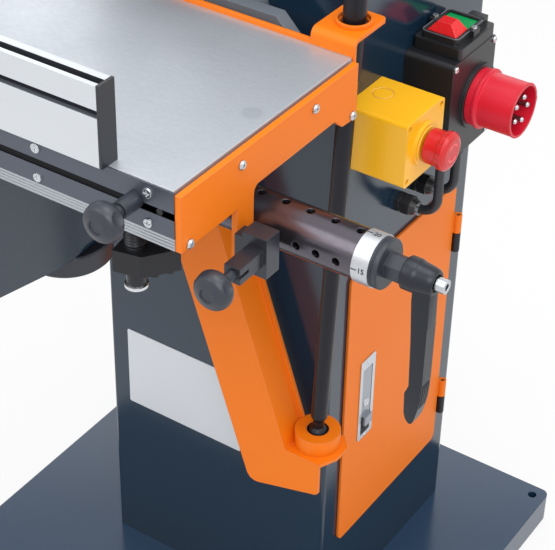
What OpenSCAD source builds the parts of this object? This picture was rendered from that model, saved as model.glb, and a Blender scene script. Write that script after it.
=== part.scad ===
// Horizontal slot mortiser: a cabinet with the drill spindle, and a table that lifts, slides and indexes.
// Millimetres, +Z up, +Y away from the operator. The origin is on the floor at the middle of the base.

/* [Base] */
// Width of the base tray
base_w = 570; // [540:5:640]
// Depth of the base tray
base_d = 570; // [540:5:640]
// Height of the base tray
base_h = 40; // [36:1:48]
// Sheet thickness of the base tray
base_t = 4; // [3:0.5:6]
// Diameter of the floor bolt holes
floor_hole_d = 11; // [9:0.5:14]
// Distance of the floor bolt holes from the edges
floor_hole_inset = 17; // [14:1:30]

/* [Cabinet] */
// Width of the cabinet
cab_w = 300; // [285:1:305]
// Depth of the cabinet
cab_d = 290; // [275:1:310]
// Height of the cabinet's top above the drill spindle
cab_over = 95.5; // [90:0.5:160]
// Sheet thickness of the cabinet
cab_t = 2.5; // [2:0.5:4]
// How far the cabinet's middle stands right of the base's middle
cab_off_x = 10; // [8:0.5:17]
// How far the cabinet's front stands before the base's middle
cab_front = 80; // [76:1:84]
// Radius of the cabinet's front corners
cab_corner = 4; // [3:0.5:10]
// Width of the access door
door_w = 224; // [212:1:232]
// Height of the access door
door_h = 381; // [340:1:400]
// Height of the door's lower edge above the base tray
door_lift = 114; // [100:1:125]
// Thickness of the door panel
door_t = 3; // [2:0.5:4]
// Width of the bare front plate
plate_w = 160; // [120:1:180]
// Height of the bare front plate
plate_h = 108; // [80:1:120]

/* [Drive] */
// Height of the drill spindle above the table at its lowest
spindle_up = 92; // [90:1:100]
// Diameter of the motor housing
motor_d = 140; // [120:1:150]
// Length of the motor housing
motor_len = 230; // [180:1:240]
// Diameter of the drill chuck
chuck_d = 58; // [50:1:60]
// Diameter of the chuck's bore
chuck_bore_d = 16; // [10:1:20]

/* [Electrics] */
// Width and height of the yellow stop box
stop_w = 71; // [64:1:76]
// Depth of the yellow stop box
stop_depth = 70; // [60:1:80]
// Diameter of the stop mushroom
mushroom_d = 40; // [36:1:44]
// Depth of the black switch box
switch_depth = 56; // [52:0.5:60]
// Width of the black switch box
switch_w = 89; // [84:1:96]
// Height of the black switch box
switch_h = 115; // [108:1:120]
// Outside diameter of the power inlet
inlet_d = 58; // [54:1:62]
// Length of the power inlet
inlet_len = 54.5; // [50:0.5:65]
// Diameter of the two short cables
cable_d = 11; // [8:0.5:12]

/* [Table] */
// Height of the table's top above the floor, at its lowest
table_h = 852.5; // [846:0.5:858]
// Length of the table
table_w = 481; // [470:1:520]
// Depth of the steel top
table_d = 265.5; // [262:0.5:275]
// Thickness of the steel top
steel_t = 8; // [6:0.5:10]
// Gap between the table's rear edge and the cabinet
table_gap = 59.5; // [58:0.5:62]
// How far the table reaches right of the cabinet
table_over = 46; // [44:0.5:48]
// Height of the table's front
front_h = 56.5; // [54:0.5:58]
// Thickness of the front profile
front_t = 14; // [12:0.5:16]
// Thickness of the orange end plates
end_t = 6; // [4:0.5:7]
// Height of the fence
fence_h = 76; // [50:1:90]
// Thickness of the fence
fence_t = 20; // [16:1:24]
// Length of the fence
fence_len = 396; // [200:1:400]

/* [Indexing] */
// Outside diameter of the index tube
tube_d = 46; // [42:1:47]
// Wall of the index tube
tube_wall = 4; // [3:0.5:6]
// Diameter of the index holes
index_hole_d = 7.8; // [7:0.1:8.5]
// Pitch of the front row of index holes
front_pitch = 20; // [18:1:22]
// Pitch of the top row of index holes
top_pitch = 25; // [24:1:25]
// Width of the pitch ring
ring_w = 16; // [14:1:20]
// Diameter of the turning knobs
knob_d = 36; // [30:1:40]
// Length of the clamp lever
clamp_len = 154; // [110:1:160]

/* [Lever and lift] */
// Diameter of the control lever
lever_d = 18; // [14:1:19]
// Diameter of the lever's grip tube
grip_d = 22; // [20:0.5:23]
// Length of the grip tube above the guide ring
grip_len = 120; // [60:5:160]
// Diameter of the lever socket
socket_d = 50; // [44:1:50]
// Sheet thickness of the orange arm and brackets
arm_t = 4; // [3:0.5:5]
// Diameter of the height handwheel
wheel_d = 92; // [80:1:100]
// Diameter of the lift columns
column_d = 25; // [20:1:28]
// Diameter of the depth rods
depth_rod_d = 20; // [16:1:22]
// Diameter of the cross rods
cross_rod_d = 16; // [12:1:18]
// Radial running clearance of rods and shafts
run_fit = 0.05; // [0.02:0.01:0.1]
// Plain clearance between pieces that move past each other
clear = 0.4; // [0.3:0.1:0.6]

/* [Hidden] */
$fn = 64;

orange = [0.93, 0.46, 0.10];
slate = [0.19, 0.23, 0.28];
coal = [0.13, 0.13, 0.14];
iron = [0.27, 0.28, 0.29];
steel = [0.74, 0.75, 0.76];
alu = [0.84, 0.85, 0.86];
red = [0.80, 0.09, 0.14];
yellow = [0.96, 0.75, 0.06];
green = [0.05, 0.55, 0.25];

// Cabinet faces
cab_l = cab_off_x - cab_w / 2;
cab_r = cab_off_x + cab_w / 2;
cab_f = -cab_front;
cab_b = cab_f + cab_d;
door_z = base_h + door_lift;
door_y1 = cab_b - 35;
door_y0 = door_y1 - door_w;
door_x = cab_r + clear;
door_lap = 15;
hinge_r = 5;
hinge_len = 50;
hinge_x = door_x + hinge_r;
hinge_y = door_y1 + hinge_r + 1;
hinge_zs = [door_z + 41, door_z + door_h - 94];
latch_w = 30.5;
latch_h = 115;
latch_t = 1.5;
latch_y = door_y0 + 29;
latch_z = door_z + 133.5;
pull_z = latch_z + latch_h - 17;

// Table faces
table_rear = cab_f - table_gap;
table_front = table_rear - table_d;
table_r = cab_r + table_over;
table_l = table_r - table_w;
table_z = table_h - steel_t;
table_low = table_h - front_h;
lip = 2.3;
face_y = table_front - lip;
strip_h = 12;
slot_z = table_low + 29.5;
slot_h = 7;
end_x = table_r + end_t;
end_top = table_h - 2.5;
end_rear = table_rear - 1.5;
top_gap = 2;
lip_gap = 1;
end_front = face_y + 1;
rail_y = table_rear + arm_t;
rail_top = table_h + 4.5;
bracket_w = 46.5;
bracket_x0 = table_r - bracket_w;
bracket_top = table_h + 16.5;
bracket_back = table_rear + 57;
screw_xs = [for (k = [0 : 3]) table_r - 26 - 116 * k];
fence_y0 = table_front - fence_t + 12;
fence_y1 = fence_y0 + fence_t;
fence_x1 = table_r - 67;
fence_x0 = fence_x1 - fence_len;
stud_x = table_r - 66;
stud_y = table_front + 29;
stud_z = table_low - 61;
stud_d = 20;

// Spindle
spin_x = cab_off_x + 2.5;
spin_z = table_h + spindle_up;
nose_r = 24;
shaft_d = 36;
cab_top = spin_z + cab_over;
chuck_y = cab_f - 20;
chuck_len = 62;

// Boxes on the right wall
stop_y = cab_f + 6;
switch_y = stop_y + stop_w + 40.5;
switch_z = door_z + door_h + 115;
stop_z = switch_z + 36;
switch_top = switch_z + switch_h;
lid_h = 12.5;
lid_top = switch_top + lid_h;
lid_xm = cab_r + switch_depth / 2 - 0.5;
key_w = 33.6;
off_y = switch_y + 22;
off_d = 24.5;
on_y = off_y + off_d + 1;
on_d = 22.5;
post_y = switch_y + 49;
inlet_y = switch_y + 56;
inlet_z = switch_z + 57.5;
pin_turns = [17 : 72 : 305];
pin_len = inlet_len - 16;
gland_len = 24;
gland_zs = [switch_z - 70, switch_z - 62];
gland_ys = [switch_y + 10, switch_y + 44];
cable_bend = 20.5;
cable_lead = 1;
cable_x = cab_r + gland_len + cable_lead + cable_bend;
stop_cy = stop_y + stop_w / 2;
stop_cz = stop_z + stop_w / 2;
screw_sink = 5;
stop_screws = [for (y = [6, stop_w - 6], z = [6, stop_w - 6]) [stop_y + y, stop_z + z]];
flange_t = 3;
mushroom_x = cab_r + stop_depth + flange_t;
press = 3;

// Index tube
tube_y = table_rear - 139.5;
tube_z = table_h - 91.3;
tube_r = tube_d / 2;
tube_x0 = 20;
tube_x1 = end_x + 97;
pin_x = end_x + 22;
pin_d = 6;
top_first = pin_x - 30.4;
ring_r = tube_r + 1;
cap_x = tube_x1 + ring_w;
hex_x = cap_x + 8;
boss_x = hex_x + 17;
block_y0 = tube_y - 55;
block_y1 = tube_y - 36;
bar_y = block_y0 - 33;
bar_w = 16;
tongue_y0 = tube_y - 49;
tongue_y1 = tube_y - tube_r - 2;
plunge_in = 8;
knob_x = table_r - 38.5;
sleeve_d = 16;
knob_z = table_low + 37;

// Lift, carriage and lever
cross_z = table_h - 77.5;
cross_ys = [table_rear - 95.5, table_rear - 20.5];
depth_z = table_h - 117.5;
depth_xs = [-90, -22];
lift_x0 = -105;
lift_x1 = -7;
lift_y0 = table_rear - 190.5;
lift_y1 = table_rear + 0.5;
lift_z0 = depth_z - 80;
lift_z1 = depth_z - 25;
rest_gap = 4;
plate_z = lift_z0 - rest_gap - 6;
wheel_x = -37;
wheel_y = table_rear - 124.5;
wheel_h = 27;
screw_d = 16;
column_xy = [[-75, table_rear - 35], [-75, table_rear - 165]];
car_y0 = table_rear - 122.5;
car_y1 = table_rear - 2.5;
car_x0 = lift_x0 - 3;
car_x1 = lift_x1 + 3;
post_w = 15;
apron_t = 4;
lever_x = end_x - 47;
lever_y = table_rear + 32;
lever_z = table_h - 485.5;
lever_lean = 20.4;
lever_rise = bracket_top + 2 - lever_z;
lever_tilt = atan(lever_lean / lever_rise);
ball_r = 11;
seat_r = 12.6;
arm_y = table_rear + 0.5;
tab_z = lever_z - 14;

// Small building shapes, given by their lowest and highest corners or their ends
module slab(x0, x1, y0, y1, z0, z1) {
    translate([x0, y0, z0])
        cube([x1 - x0, y1 - y0, z1 - z0]);
}

module rod_x(x0, x1, y, z, d) {
    translate([x0, y, z])
        rotate([0, 90, 0])
            cylinder(h = x1 - x0, d = d);
}

module rod_y(x, y0, y1, z, d) {
    translate([x, y1, z])
        rotate([90, 0, 0])
            cylinder(h = y1 - y0, d = d);
}

module rod_z(x, y, z0, z1, d) {
    translate([x, y, z0])
        cylinder(h = z1 - z0, d = d);
}

// A rectangle with round corners, from its lowest corner
module soft_rect(w, h, r) {
    translate([r, 0])
        square([w - 2 * r, h]);
    translate([0, r])
        square([w, h - 2 * r]);
    for (x = [r, w - r], y = [r, h - r])
        translate([x, y])
            circle(r);
}

// An upright block with round vertical edges
module soft_slab(x0, x1, y0, y1, z0, z1, r) {
    translate([x0, y0, z0])
        linear_extrude(z1 - z0)
            soft_rect(x1 - x0, y1 - y0, r);
}

// A block with round edges along X
module soft_slab_x(x0, x1, y0, y1, z0, z1, r) {
    translate([x0, y0, z0])
        rotate([90, 0, 90])
            linear_extrude(x1 - x0)
                soft_rect(y1 - y0, z1 - z0, r);
}

// An outline in X and Z, extruded along +Y from y0
module upright(y0, t, points) {
    translate([0, y0 + t, 0])
        rotate([90, 0, 0])
            linear_extrude(t)
                polygon(points);
}

// An outline in Y and Z, extruded along +X from x0
module sideways(x0, t, points) {
    translate([x0, 0, 0])
        rotate([90, 0, 90])
            linear_extrude(t)
                polygon(points);
}

// A pan head that stands on a face whose normal is +X or -Y
module head_x(x, y, z, d) {
    translate([x, y, z])
        rotate([0, 90, 0])
            difference() {
                union() {
                    cylinder(h = d * 0.2, d = d);
                    translate([0, 0, d * 0.2])
                        cylinder(h = d * 0.15, d1 = d, d2 = d * 0.7);
                }
                translate([0, 0, d * 0.15])
                    cylinder(h = d, d = d * 0.4, $fn = 6);
            }
}

module head_y(x, y, z, d) {
    translate([x, y, z])
        rotate([90, 0, 0])
            difference() {
                cylinder(h = d * 0.2, d1 = d, d2 = d * 0.9);
                for (a = [0, 90])
                    rotate([0, 0, a])
                        translate([-d * 0.3, -d * 0.06, d * 0.1])
                            cube([d * 0.6, d * 0.12, d]);
            }
}

// A round grip knob along -Y with three finger hollows and a shallow front disc
module grip_knob(x, y, z) {
    r = knob_d / 2;
    translate([x, y, z])
        rotate([90, 0, 0])
            difference() {
                rotate_extrude()
                    polygon(concat([[0, 0], [r * 0.5, 0], [r * 0.56, 4]],
                        [for (a = [-50 : 10 : 60]) [r * 0.62 + r * 0.38 * cos(a), 13 + r * 0.5 * sin(a)]],
                        [[r * 0.45, 23.5], [0, 23.5]]));
                translate([0, 0, 22.5])
                    cylinder(h = 4, r = r * 0.36);
                for (a = [30, 150, 270])
                    rotate([0, 0, a])
                        translate([r * 1.42, 0, 12])
                            sphere(r * 0.62);
            }
}

// A tube swept along points that lie in one plane of constant Y
function unit(v) = v / norm(v);
function tangent(p, i) = unit(p[min(i + 1, len(p) - 1)] - p[max(i - 1, 0)]);

module flat_tube(p, d, sides = 10) {
    n = len(p);
    rings = [for (i = [0 : n - 1]) let (t = tangent(p, i), side = cross([0, 1, 0], t))
        for (k = [0 : sides - 1]) let (a = 360 * k / sides)
            p[i] + d / 2 * (cos(a) * side + sin(a) * [0, 1, 0])];
    walls = [for (i = [0 : n - 2], k = [0 : sides - 1]) let (j = (k + 1) % sides)
        each [[i * sides + k, (i + 1) * sides + j, i * sides + j],
            [i * sides + k, (i + 1) * sides + k, (i + 1) * sides + j]]];
    first = [for (k = [1 : sides - 2]) [0, k, k + 1]];
    last = [for (k = [1 : sides - 2]) [(n - 1) * sides, (n - 1) * sides + k + 1, (n - 1) * sides + k]];
    polyhedron(concat(rings), concat(walls, first, last));
}

// The short loop of a cable: out of its gland, round a quarter turn and up into the switch box
function cable_route(y, z) = concat([[cab_r + gland_len, y, z]],
    [for (a = [0 : 15 : 90]) [cable_x - cable_bend * (1 - sin(a)), y, z + cable_bend * (1 - cos(a))]],
    [for (k = [1 : 3]) [cable_x, y, z + cable_bend + (switch_z - z - cable_bend) * k / 3]]);

// Base and cabinet
module base_plate() {
    hole_x = base_w / 2 - floor_hole_inset;
    hole_y = base_d / 2 - floor_hole_inset;
    color(slate)
        difference() {
            soft_slab(-base_w / 2, base_w / 2, -base_d / 2, base_d / 2, 0, base_h, 10);
            difference() {
                slab(-base_w / 2 + base_t, base_w / 2 - base_t, -base_d / 2 + base_t, base_d / 2 - base_t,
                    -1, base_h - base_t);
                for (x = [-hole_x, hole_x], y = [-hole_y, hole_y])
                    rod_z(x, y, -2, base_h, floor_hole_d + 12);
            }
            for (x = [-hole_x, hole_x], y = [-hole_y, hole_y])
                rod_z(x, y, -1, base_h + 1, floor_hole_d);
        }
}

// The cabinet's outline seen from above, drawn in by a distance
module cabinet_outline(inset) {
    front = cab_corner - inset;
    rear = 10 - inset;
    x0 = cab_l + inset;
    x1 = cab_r - inset;
    y0 = cab_f + inset;
    y1 = cab_b - inset;
    translate([x0, y0 + front])
        square([x1 - x0, y1 - y0 - front - rear]);
    translate([x0 + front, y0])
        square([x1 - x0 - 2 * front, front]);
    translate([x0 + rear, y1 - rear])
        square([x1 - x0 - 2 * rear, rear]);
    for (x = [x0 + front, x1 - front])
        translate([x, y0 + front])
            circle(front);
    for (x = [x0 + rear, x1 - rear])
        translate([x, y1 - rear])
            circle(rear);
}

module cabinet_shell() {
    color(slate)
        difference() {
            translate([0, 0, base_h])
                linear_extrude(cab_top - base_h)
                    cabinet_outline(0);
            translate([0, 0, base_h - 1])
                linear_extrude(cab_top - base_h + 2)
                    cabinet_outline(cab_t);
            slab(cab_r - cab_t - 1, cab_r + 1, door_y0 + door_lap, door_y1 - door_lap,
                door_z + door_lap, door_z + door_h - door_lap);
            rod_y(spin_x, cab_f - 1, cab_f + cab_t + 1, spin_z, 2 * nose_r + 12);
        }
}

module cabinet_lid() {
    color(slate)
        difference() {
            translate([0, 0, cab_top - 12])
                linear_extrude(15)
                    cabinet_outline(-3);
            translate([0, 0, cab_top - 20])
                linear_extrude(20)
                    cabinet_outline(0);
        }
}

module access_door() {
    color(orange)
        difference() {
            union() {
                soft_slab_x(door_x, door_x + door_t, door_y0, door_y1, door_z, door_z + door_h, 9);
                for (z = hinge_zs) {
                    slab(door_x, door_x + door_t, door_y1 - 4, hinge_y,
                        z + hinge_len / 2 + 1, z + hinge_len);
                    rod_z(hinge_x, hinge_y, z + hinge_len / 2 + 1, z + hinge_len, 2 * hinge_r);
                }
            }
            for (z = hinge_zs)
                rod_z(hinge_x, hinge_y, z, z + hinge_len + 1, 5 + 2 * run_fit);
            slab(door_x - 1, door_x + door_t + 1, latch_y + 4, latch_y + latch_w - 4,
                latch_z + 4, latch_z + latch_h - 4);
        }
}

module door_hinges() {
    color(coal)
        for (z = hinge_zs) {
            slab(cab_r, cab_r + 3, hinge_y - 2, hinge_y + 9, z, z + hinge_len / 2);
            rod_z(hinge_x, hinge_y, z, z + hinge_len / 2, 2 * hinge_r);
            rod_z(hinge_x, hinge_y, z + hinge_len / 2, z + hinge_len - 2, 5);
        }
}

module door_latch() {
    x0 = door_x + door_t;
    color(steel)
        difference() {
            union() {
                soft_slab_x(x0, x0 + latch_t, latch_y, latch_y + latch_w, latch_z, latch_z + latch_h, 3);
                slab(door_x - 6, x0, latch_y + 4 + clear, latch_y + latch_w - 4 - clear,
                    latch_z + 4 + clear, latch_z + latch_h - 4 - clear);
            }
            slab(x0 - 4, x0 + latch_t + 1, latch_y + 5.5, latch_y + latch_w - 5.5,
                latch_z + 6, latch_z + latch_h - 14);
        }
}

module latch_handle() {
    x0 = door_x + door_t;
    color(alu) {
        slab(x0 - 1.5, x0 + latch_t - 0.5, latch_y + 6, latch_y + latch_w - 6, latch_z + 32, pull_z);
        rod_y(x0 + latch_t / 2 - 1, latch_y + 6, latch_y + latch_w - 6, pull_z, latch_t + 1);
        slab(x0 - 1, x0 + latch_t + 4, latch_y + 9, latch_y + latch_w - 7, latch_z + 20, latch_z + 32);
    }
}

module name_plate() {
    color(alu)
        soft_plate_front(cab_l + 25, base_h + 217, plate_w, plate_h, 1.2);
}

// A thin plate on the cabinet's front face
module soft_plate_front(x, z, w, h, t) {
    translate([x, cab_f, z])
        rotate([90, 0, 0])
            linear_extrude(t)
                soft_rect(w, h, 2);
}

// Drive inside the cabinet
module drive_motor() {
    y0 = cab_f + 28;
    color(iron) {
        difference() {
            rod_y(spin_x, y0, y0 + motor_len, spin_z, motor_d);
            for (a = [0 : 15 : 345])
                translate([spin_x, y0 + 20, spin_z])
                    rotate([0, a, 0])
                        translate([-2, 0, motor_d / 2 - 5])
                            cube([4, motor_len - 60, 10]);
            rod_y(spin_x, y0 - 1, y0 + 40, spin_z, shaft_d + 2 * run_fit);
        }
        slab(spin_x - 50, spin_x + 50, y0 + 40, y0 + 140,
            spin_z - motor_d / 2 - 10, spin_z - motor_d / 2 + 8);
    }
}

module motor_shelf() {
    top = spin_z - motor_d / 2 - 10;
    color(slate) {
        slab(cab_l + cab_t, cab_r - cab_t, cab_f + 40, cab_f + 200, top - 6, top);
        for (x = [cab_l + cab_t, cab_r - cab_t - 5])
            slab(x, x + 5, cab_f + 40, cab_f + 200, top - 40, top - 6);
    }
}

module spindle_cover() {
    color(slate)
        difference() {
            soft_block_front(spin_x - 75, spin_x + 75, spin_z - 56, spin_z + 56, cab_f - 15, cab_f);
            rod_y(spin_x, cab_f - 16, cab_f + 1, spin_z, 2 * nose_r + 12);
        }
}

// A block with round edges along Y
module soft_block_front(x0, x1, z0, z1, y0, y1) {
    translate([x0, y1, z0])
        rotate([90, 0, 0])
            linear_extrude(y1 - y0)
                soft_rect(x1 - x0, z1 - z0, 8);
}

module drill_chuck() {
    r = chuck_d / 2;
    color(steel)
        translate([spin_x, chuck_y, spin_z])
            rotate([90, 0, 0])
                difference() {
                    rotate_extrude()
                        polygon([[0, -70], [shaft_d / 2, -70], [shaft_d / 2, -8], [nose_r, -8], [nose_r, 0],
                            [r, 0], [r, chuck_len - 22], [r - 3, chuck_len - 20], [r - 10, chuck_len],
                            [0, chuck_len]]);
                    translate([0, 0, chuck_len - 45])
                        cylinder(h = 46, d = chuck_bore_d);
                    for (a = [0 : 60 : 300])
                        rotate([0, 0, a])
                            translate([r, 0, 8])
                                cylinder(h = 22, r = 2.5);
                }
}

// Electrical boxes on the right wall
module switch_box() {
    x1 = cab_r + switch_depth;
    color(coal) {
        soft_slab_x(cab_r, x1, switch_y, switch_y + switch_w, switch_z, switch_top, 6);
        rod_x(x1, x1 + 3, inlet_y, inlet_z, inlet_d + 12);
    }
}

module switch_lid() {
    x0 = cab_r + 1;
    x1 = cab_r + switch_depth - 0.5;
    xm = lid_xm;
    rim = key_w / 2 + 4.5;
    color(coal)
        difference() {
            union() {
                soft_slab(x0, x1, switch_y + 13.5, switch_y + switch_w - 4, switch_top, lid_top, 4);
                soft_slab(xm - rim, xm + rim, off_y - 4.5, on_y + on_d + 4.5, lid_top, lid_top + 7, 5);
                for (s = [-1, 1])
                    slab(xm + s * 22 - 4, xm + s * 22 + 4, post_y - 6.5, post_y + 6.5, lid_top, lid_top + 8);
                slab(xm + 2, xm + 20, on_y + on_d + 4, on_y + on_d + 13, lid_top, lid_top + 8);
            }
            slab(xm - key_w / 2 - clear, xm + key_w / 2 + clear, off_y - clear, on_y + on_d + clear,
                lid_top - 8, lid_top + 9);
        }
}

module stop_button() {
    x0 = lid_xm - key_w / 2;
    x1 = lid_xm + key_w / 2;
    y1 = off_y + off_d;
    foot = lid_top - 4;
    edge = lid_top + 6;
    top = lid_top + 17;
    in_x = 9.2;
    in_y = 5.2;
    color(red)
        polyhedron([[x0, off_y, foot], [x1, off_y, foot], [x1, y1, foot], [x0, y1, foot],
            [x0, off_y, edge], [x1, off_y, edge], [x1, y1, edge], [x0, y1, edge],
            [x0 + in_x, off_y + in_y, top], [x1 - in_x, off_y + in_y, top], [x1 - in_x, y1 - in_y, top],
            [x0 + in_x, y1 - in_y, top]],
            concat([[0, 1, 2, 3], [11, 10, 9, 8]],
                [for (r = [0, 4], k = [0 : 3]) let (j = (k + 1) % 4) [r + k, r + k + 4, r + j + 4, r + j]]));
}

module start_button() {
    color(green)
        slab(lid_xm - key_w / 2, lid_xm + key_w / 2, on_y, on_y + on_d, lid_top - 4, lid_top + 5);
}

module power_inlet() {
    r = inlet_d / 2;
    color(red)
        translate([cab_r + switch_depth + 3, inlet_y, inlet_z])
            rotate([0, 90, 0])
                difference() {
                    rotate_extrude()
                        polygon([[0, 0], [r + 1.7, 0], [r + 1.7, 7], [r + 3.2, 8], [r + 3.2, 11], [r, 12.5],
                            [r, inlet_len - 3], [r - 2.5, inlet_len - 3], [r - 2.5, 16], [0, 16]]);
                    for (a = pin_turns)
                        rotate([0, 0, a])
                            translate([14, 0, 10])
                                cylinder(h = 10, d = 6);
                }
}

module inlet_pins() {
    color(steel)
        translate([cab_r + switch_depth + 3, inlet_y, inlet_z])
            rotate([0, 90, 0])
                for (a = pin_turns)
                    rotate([0, 0, a])
                        translate([14, 0, 10]) {
                            cylinder(h = pin_len, d = 6);
                            translate([0, 0, pin_len])
                                cylinder(h = 1.5, d1 = 6, d2 = 4);
                        }
}

module stop_box() {
    x1 = cab_r + stop_depth;
    color(yellow)
        difference() {
            union() {
                soft_slab_x(cab_r, x1, stop_y, stop_y + stop_w, stop_z, stop_z + stop_w, 4);
                rod_x(x1, mushroom_x, stop_cy, stop_cz, mushroom_d + 6);
                rod_x(mushroom_x, mushroom_x + 1, stop_cy, stop_cz, mushroom_d - 3);
            }
            rod_x(x1 - 20, mushroom_x + 2, stop_cy, stop_cz, 16);
            for (p = stop_screws)
                rod_x(x1 - screw_sink, x1 + 1, p[0], p[1], 6);
            translate([cab_r + 18, stop_cy + 5, stop_z + stop_w - 0.6])
                difference() {
                    cylinder(h = 2, d = 22);
                    translate([0, 0, -1])
                        cylinder(h = 4, d = 20);
                }
        }
}

module stop_mushroom() {
    r = mushroom_d / 2;
    color(red)
        translate([mushroom_x + 1 + press + clear, stop_cy, stop_cz])
            rotate([0, 90, 0])
                difference() {
                    rotate_extrude()
                        polygon([[0, -16], [7.5, -16], [7.5, 0], [r - 2, 0], [r - 2, 13], [r, 15],
                            [r, 20], [r - 2, 22.5], [r - 6, 24], [0, 24]]);
                    for (a = [0 : 15 : 345])
                        rotate([0, 0, a])
                            translate([r, 0, 15])
                                cylinder(h = 4, r = 0.7);
                }
}

module cable_glands() {
    color(coal)
        for (i = [0, 1]) {
            translate([cab_r, gland_ys[i], gland_zs[i]])
                rotate([0, 90, 0]) {
                    cylinder(h = 5, d = 24, $fn = 6);
                    translate([0, 0, 5])
                        cylinder(h = 2, d = 19);
                    translate([0, 0, 7])
                        cylinder(h = 10, d = 24, $fn = 6);
                    translate([0, 0, 17])
                        cylinder(h = gland_len - 17, d1 = 20, d2 = 14);
                }
            difference() {
                rod_z(cable_x, gland_ys[i], switch_z - 7, switch_z, cable_d + 4);
                rod_z(cable_x, gland_ys[i], switch_z - 8, switch_z + 1, cable_d + 2 * clear);
            }
        }
}

module front_cable() {
    color(coal)
        flat_tube(cable_route(gland_ys[0], gland_zs[0]), cable_d);
}

module rear_cable() {
    color(coal)
        flat_tube(cable_route(gland_ys[1], gland_zs[1]), cable_d);
}

module box_screws() {
    x1 = cab_r + switch_depth;
    xs = cab_r + stop_depth;
    xm = lid_xm;
    color(steel) {
        for (y = [switch_y + 5, switch_y + switch_w - 5], z = [switch_z + 5, switch_top - 5])
            head_x(x1, y, z, 7);
        for (p = stop_screws)
            head_x(xs - screw_sink, p[0], p[1], 4.5);
        for (s = [-1, 1])
            translate([xm + s * 22, post_y, lid_top + 8])
                cylinder(h = 2, d = 6.5);
    }
}

// Fixed console in front of the cabinet, and what lifts the table on it
module console() {
    web_x1 = lift_x0 + 60;
    rear = table_rear - 10.5;
    color(iron) {
        rear_bar();
        difference() {
            union() {
                slab(lift_x0 - 7, lift_x1 + 0.5, lift_y0 - 10, rear, plate_z, plate_z + 6);
                slab(lift_x0 - 7, web_x1, rear, cab_f, plate_z, plate_z + 6);
                slab(lift_x0 - 7, web_x1, table_rear + 17.5, cab_f, plate_z - 45, lift_z1 - 1);
                for (p = column_xy)
                    rod_z(p[0], p[1], plate_z - 8, plate_z, column_d + 12);
            }
            rod_z(wheel_x, wheel_y, plate_z - 1, plate_z + 7, screw_d + 2 * run_fit);
            for (p = column_xy)
                rod_z(p[0], p[1], plate_z - 9, plate_z + 7, column_d);
        }
    }
}

// The chamfered bar behind the table's rear rail, on two posts from the cabinet
module rear_bar() {
    y0 = table_rear + 22.5;
    x1 = lever_x - 38;
    z1 = table_h + 1.5;
    union() {
        upright(y0, 15, [[x1 - 190, z1 - 24], [x1, z1 - 24], [x1, z1 - 20], [x1 - 20, z1], [x1 - 190, z1]]);
        for (x = [x1 - 160, x1 - 60])
            rod_y(x, y0 + 15, cab_f, z1 - 12, 14);
    }
}

module lift_columns() {
    color(steel)
        for (p = column_xy)
            rod_z(p[0], p[1], plate_z - 8, lift_z1 - 1, column_d);
}

module height_handwheel() {
    r = wheel_d / 2;
    z1 = plate_z - 6;
    color(coal)
        translate([wheel_x, wheel_y, z1 - wheel_h])
            rotate_extrude()
                polygon([[screw_d / 2, 4], [16, 4], [22, 10], [r - 12, 10], [r - 9, 0], [r - 3, 0],
                    [r, 3], [r, wheel_h - 5], [r - 1.5, wheel_h - 3], [22, wheel_h - 3], [20, wheel_h],
                    [screw_d / 2, wheel_h]]);
}

module lead_screw() {
    color(steel) {
        rod_z(wheel_x, wheel_y, plate_z - 6 - wheel_h, plate_z + 6.5, screw_d);
        translate([wheel_x, wheel_y, plate_z + 6.5])
            rotate_extrude()
                polygon(concat([[0, 0]], [for (k = [0 : 13]) each [[6, k * 4], [7.5, k * 4 + 2]]],
                    [[6, 56], [0, 56]]));
    }
}

module lift_block() {
    color(iron)
        difference() {
            union() {
                slab(lift_x0, lift_x1, lift_y0, lift_y1, lift_z0, lift_z1);
                slab(lift_x0, lift_x1, lift_y0 - 72, lift_y1 + 14, lift_z1, lift_z1 + 6);
                for (y = [lift_y0 - 72, lift_y1 - 1])
                    slab(lift_x0, lift_x1, y, y + 15, lift_z1 + 6, depth_z + depth_rod_d / 2 + 5);
            }
            for (p = column_xy)
                rod_z(p[0], p[1], lift_z0 - 1, lift_z1 + 0.5, column_d + 2 * run_fit);
            rod_z(wheel_x, wheel_y, lift_z0 - 1, lift_z1 + 0.5, 15 + 2 * clear);
            for (x = depth_xs)
                rod_y(x, lift_y0 - 73, lift_y1 + 15, depth_z, depth_rod_d);
        }
}

module depth_rods() {
    color(steel)
        for (x = depth_xs)
            rod_y(x, lift_y0 - 72, lift_y1 + 14, depth_z, depth_rod_d);
}

module cross_carriage() {
    foot_z = depth_z - 18;
    top_z = depth_z + 20;
    color(iron)
        difference() {
            union() {
                slab(car_x0, car_x1, car_y0, car_y1, foot_z, top_z);
                for (x = [car_x0, car_x1 - post_w], y = cross_ys)
                    slab(x, x + post_w, y - 12, y + 12, top_z, cross_z + 13);
                slab(car_x1, tube_x0 + 40, tube_y - tube_r - 4, tube_y + 79, tube_z - tube_r - 4, top_z);
                slab(tube_x0 - 24, tube_x0 + 40, tube_y - tube_r - 4, tube_y + tube_r + 4,
                    top_z, tube_z + tube_r + 4);
            }
            for (x = depth_xs)
                rod_y(x, car_y0 - 1, car_y1 + 1, depth_z, depth_rod_d + 2 * run_fit);
            for (y = cross_ys)
                rod_x(car_x0 - 1, car_x1 + 1, y, cross_z, cross_rod_d);
            rod_x(tube_x0 - clear, tube_x0 + 41, tube_y, tube_z, tube_d + 2 * run_fit);
        }
}

module cross_rods() {
    color(steel)
        for (y = cross_ys)
            rod_x(car_x0 - 147, car_x1 + 144, y, cross_z, cross_rod_d);
}

module carriage_apron() {
    low = table_low - 157;
    top = table_low - 3;
    step_y = tube_y - tube_r - 12;
    seat = tube_z - tube_r - 4;
    front = face_y - 4.7;
    color(slate)
        sideways(car_x1, apron_t, [[front, low + 19], [front + 96, low], [table_rear - 10.5, low],
            [table_rear - 10.5, seat], [step_y, seat], [step_y, top], [front, top]]);
}

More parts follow.
